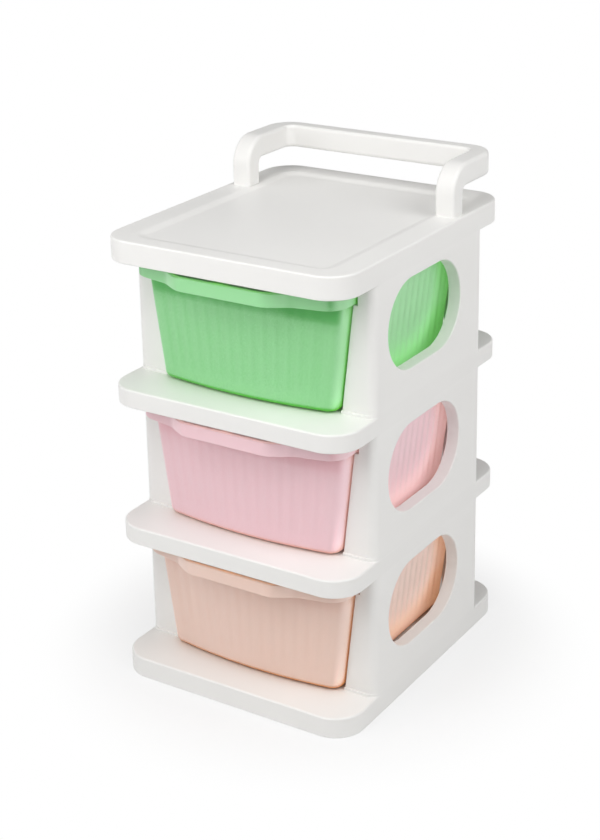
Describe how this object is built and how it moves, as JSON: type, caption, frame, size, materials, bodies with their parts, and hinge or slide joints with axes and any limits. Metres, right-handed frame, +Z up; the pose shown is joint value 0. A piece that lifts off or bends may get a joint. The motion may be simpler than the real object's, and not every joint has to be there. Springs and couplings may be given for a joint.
{
  "type": "storage drawer cabinet",
  "caption": "White plastic storage cabinet for small nursery items, with pull-out drawers in pastel colours between open tiers, window cut-outs in the side panels and a carry handle on the top.",
  "frame": {"origin": "on the floor, under the middle of the cabinet, half way across its width and its depth", "axes": "X to the right seen from the front, Y to the rear (the drawers pull out towards -Y), Z up"},
  "size_m": [0.2, 0.236, 0.3796],
  "materials": {
    "white_plastic": "smooth satin moulded white plastic",
    "green_plastic": "smooth satin moulded plastic, pastel green, slightly see-through at thin walls",
    "pink_plastic": "smooth satin moulded plastic, pastel pink, slightly see-through at thin walls",
    "peach_plastic": "smooth satin moulded plastic, pastel peach, slightly see-through at thin walls"
  },
  "bodies": {
    "frame": {"base": "white_plastic", "lower_shelf": "white_plastic", "upper_shelf": "white_plastic", "top_plate": "white_plastic", "carry_handle": "white_plastic", "bottom_panel_right": "white_plastic", "bottom_panel_left": "white_plastic", "middle_panel_right": "white_plastic", "middle_panel_left": "white_plastic", "top_panel_right": "white_plastic", "top_panel_left": "white_plastic"},
    "drawer_bottom": {"bottom_drawer": "peach_plastic"},
    "drawer_middle": {"middle_drawer": "pink_plastic"},
    "drawer_top": {"top_drawer": "green_plastic"}
  },
  "joints": [
    {"name": "bottom_drawer_slide", "type": "slide", "parent": "frame", "child": "drawer_bottom", "axis": [0, -1, 0], "range_m": [0, 0.13]},
    {"name": "middle_drawer_slide", "type": "slide", "parent": "frame", "child": "drawer_middle", "axis": [0, -1, 0], "range_m": [0, 0.13]},
    {"name": "top_drawer_slide", "type": "slide", "parent": "frame", "child": "drawer_top", "axis": [0, -1, 0], "range_m": [0, 0.13]}
  ]
}
